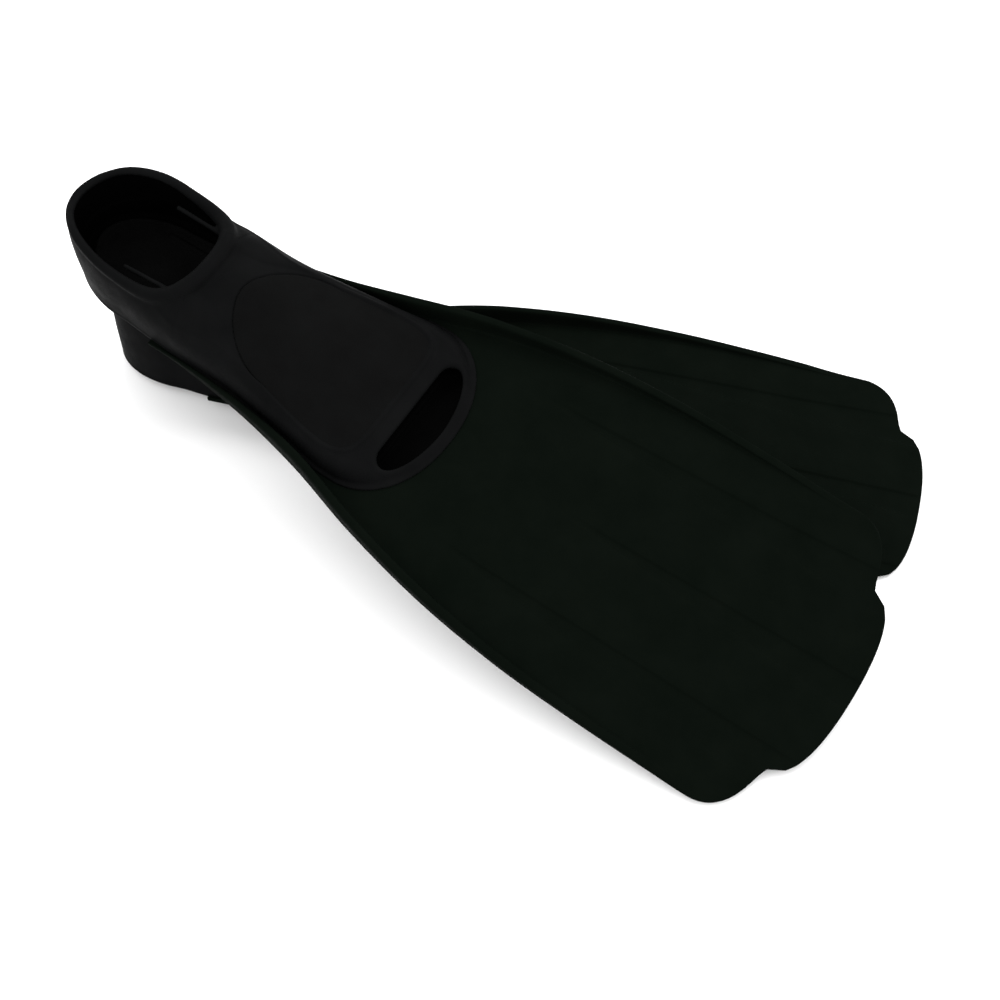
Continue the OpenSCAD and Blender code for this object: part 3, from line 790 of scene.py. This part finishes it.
def finish_of(name, dark, light, rough, shine, grain, depth):
    """A moulded finish: mottled colour, uneven sheen and a fine grain in the surface."""
    made = bpy.data.materials.new(name)
    made.use_nodes = True
    tree = made.node_tree
    shader = tree.nodes["Principled BSDF"]
    mottle = noise(tree, MOTTLE_SCALE, 5.0, 0.6)
    mix = node_of(tree, "ShaderNodeMix", data_type="RGBA")
    mix.inputs["A"].default_value = (*dark, 1)
    mix.inputs["B"].default_value = (*light, 1)
    tree.links.new(spread_to(tree, mottle, 0, 1), mix.inputs["Factor"])
    tree.links.new(mix.outputs["Result"], shader.inputs["Base Color"])
    sheen = noise(tree, SHEEN_SCALE, 4.0, 0.6)
    tree.links.new(spread_to(tree, sheen, rough - 0.06, rough + 0.08), shader.inputs["Roughness"])
    shader.inputs["Specular IOR Level"].default_value = shine
    fine = node_of(tree, "ShaderNodeBump", Strength=depth, Distance=0.0003)
    tree.links.new(noise(tree, grain, 2.0), fine.inputs["Height"])
    broad = node_of(tree, "ShaderNodeBump", Strength=0.25, Distance=0.0006)
    tree.links.new(noise(tree, BROAD_SCALE, 3.0), broad.inputs["Height"])
    tree.links.new(fine.outputs["Normal"], broad.inputs["Normal"])
    tree.links.new(broad.outputs["Normal"], shader.inputs["Normal"])
    return made


def grey(value):
    return (value, value, value)


# name, darker and lighter mottle, roughness, shine, grain scale and grain depth
RUBBER = finish_of("rubber", (0.0024, 0.0025, 0.0026), (0.0034, 0.0035, 0.0036),
                   0.5, 0.006, 1800, 0.3)
PANEL_RUBBER = finish_of("panel_rubber", grey(0.0022), (0.0029, 0.0030, 0.0030),
                         0.5, 0.007, 2200, 0.35)
# painted shade: a near-black finish stands in for the shade inside the foot cavity and toe slot
INSIDE_SHADE = finish_of("painted_inside_shade", grey(0.0007), grey(0.0011), 0.8, 0.002, 900, 0.4)
BED_RUBBER = finish_of("bed_rubber", grey(0.0016), grey(0.0028), 0.7, 0.006, 1500, 0.4)
TREAD_RUBBER = finish_of("tread_rubber", grey(0.0028), grey(0.005), 0.7, 0.02, 900, 0.6)
PLASTIC = finish_of("plastic", (0.00165, 0.00253, 0.0018), (0.0022, 0.0032, 0.0023),
                    0.4, 0.0008, 1400, 0.2)


# ---- placing the fins ----
def turn_of(degrees):
    rx, ry, rz = (math.radians(d) for d in degrees)
    return Matrix.Rotation(rz, 4, "Z") @ Matrix.Rotation(ry, 4, "Y") @ Matrix.Rotation(rx, 4, "X")


PLACE = {
    "lower": Matrix.Translation(Vector((-REST_X, 0, 0)) * MM),
    "upper": Matrix.Translation((Vector(UPPER_AT) - Vector((REST_X, 0, 0))) * MM)
    @ turn_of(UPPER_TURN),
}


def put(name, mesh, material, place):
    """A copy of the mesh, set down in its place, as an object of its own."""
    own = mesh.copy()
    own.transform(place)
    if not own.materials:
        own.materials.append(material)
    made = bpy.data.objects.new(name, own)
    bpy.context.scene.collection.objects.link(made)
    return made


STEP, FINE_STEP = 1.0, 0.8  # grid cells that the formulas are meshed with
PIECES = {
    # name: (formula, low corner, high corner, step, material, slot, CAD nodes it stands for)
    "pocket": (pocket, (0, -61, 0), (275, 61, 64), STEP, RUBBER, "pocket_rubber",
               ("foot_pocket", "collar_roll", "toe_lip")),
    "instep_panel": (instep_panel, (122, -50, 15), (234, 50, 56), FINE_STEP, PANEL_RUBBER,
                     "soft_rubber", ("instep_panel",)),
    "foot_bed": (foot_bed, (6, -56, 2), (226, 56, 24), STEP, BED_RUBBER, "bed_rubber",
                 ("foot_bed",)),
    "heel_tread": (tread(12, 76, True), (9, -42, -3), (79, 42, 7), FINE_STEP, TREAD_RUBBER,
                   "tread_rubber", ("heel_tread",)),
    "ball_tread": (tread(96, 226, False), (93, -55, -3), (229, 55, 9), FINE_STEP,
                   TREAD_RUBBER, "tread_rubber", ("ball_tread",)),
}


def paint_inside_shade(mesh, points, quads):
    """Paints shade on the inside of the pocket: its inside faces get a near-black material that
    stands in for the shade there.
    """
    mesh.materials.append(RUBBER)
    mesh.materials.append(INSIDE_SHADE)
    shaded = in_painted_shade(points[quads].mean(1))
    mesh.polygons.foreach_set("material_index", shaded.astype(np.int32))


def make_fins():
    for name, (rule, low, high, step, material, slot, nodes) in PIECES.items():
        points, quads = solid(rule, low, high, step)
        mesh = to_mesh(name, points, quads)
        if name == "pocket":
            # the inside of the pocket is painted darker, as shade
            paint_inside_shade(mesh, points, quads)
        for fin, place in PLACE.items():
            made = put(f"{fin}_{name}_skin", mesh, material, place)
            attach(made, f"{fin}_fin")
            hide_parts(*(f"{fin}_{node}" for node in nodes))
    mesh = to_mesh("blade", *blade_grid())
    for fin, place in PLACE.items():
        made = put(f"{fin}_blade_skin", mesh, PLASTIC, place)
        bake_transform(made)
        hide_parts(f"{fin}_blade_root", f"{fin}_blade_tip")


make_fins()


# ---- floor, light and camera ----
FLOOR_REACH = 6.0
FLOOR_DROP = 0.0004  # the floor lies this far below the fins, so that the two never share a face
FLOOR_WHITE = 0.87


def make_floor():
    mesh = bpy.data.meshes.new("floor")
    corners = [(-1, -1), (1, -1), (1, 1), (-1, 1)]
    points = [(x * FLOOR_REACH, y * FLOOR_REACH, 0) for x, y in corners]
    mesh.from_pydata(points, [], [(0, 1, 2, 3)])
    made = bpy.data.objects.new("floor", mesh)
    bpy.context.scene.collection.objects.link(made)
    made.location.z = -FLOOR_DROP
    white = bpy.data.materials.new("floor_white")
    white.use_nodes = True
    shader = white.node_tree.nodes["Principled BSDF"]
    shader.inputs["Base Color"].default_value = (*grey(FLOOR_WHITE), 1)
    shader.inputs["Roughness"].default_value = 0.9
    shader.inputs["Specular IOR Level"].default_value = 0.1
    mesh.materials.append(white)


def make_light(name, at, towards, size, power):
    data = bpy.data.lights.new(name, "AREA")
    data.shape = "RECTANGLE"
    data.size, data.size_y = size
    data.energy = power
    made = bpy.data.objects.new(name, data)
    bpy.context.scene.collection.objects.link(made)
    made.location = at
    made.rotation_mode = "QUATERNION"
    made.rotation_quaternion = (Vector(towards) - Vector(at)).to_track_quat("-Z", "Y")


def make_world(strength):
    world = bpy.data.worlds.new("studio")
    bpy.context.scene.world = world
    world.use_nodes = True
    shade = world.node_tree.nodes["Background"]
    shade.inputs["Color"].default_value = (1, 1, 1, 1)
    shade.inputs["Strength"].default_value = strength


CAMERA_AT = (463.7 - REST_X, -622.7, 690.5)  # in mm
CAMERA_TO = (-0.1984, 0.6165, -0.7619)
CAMERA_UP = (-0.2199, 0.7296, 0.6476)
CAMERA_LENS = 54.3


def make_camera():
    data = bpy.data.cameras.new("camera")
    data.lens = CAMERA_LENS
    data.clip_start, data.clip_end = 0.01, 50
    made = bpy.data.objects.new("camera", data)
    bpy.context.scene.collection.objects.link(made)
    back = -Vector(CAMERA_TO).normalized()
    right = Vector(CAMERA_UP).cross(back).normalized()
    up = back.cross(right)
    made.matrix_world = Matrix((
        (right.x, up.x, back.x, CAMERA_AT[0] * MM),
        (right.y, up.y, back.y, CAMERA_AT[1] * MM),
        (right.z, up.z, back.z, CAMERA_AT[2] * MM),
        (0, 0, 0, 1),
    ))
    bpy.context.scene.camera = made


SKY = 2.0  # strength of the white surroundings
MIDDLE = (0.2, -0.05, 0.0)  # of the pair, in metres, where the lights point

make_floor()
make_world(SKY)
make_light("key", (0.9, 1.3, 1.9), MIDDLE, size=(1.4, 1.0), power=24)
make_light("left", (-1.2, -0.9, 1.0), MIDDLE, size=(1.2, 0.8), power=1)
make_camera()
bpy.context.scene.view_settings.view_transform = "Standard"
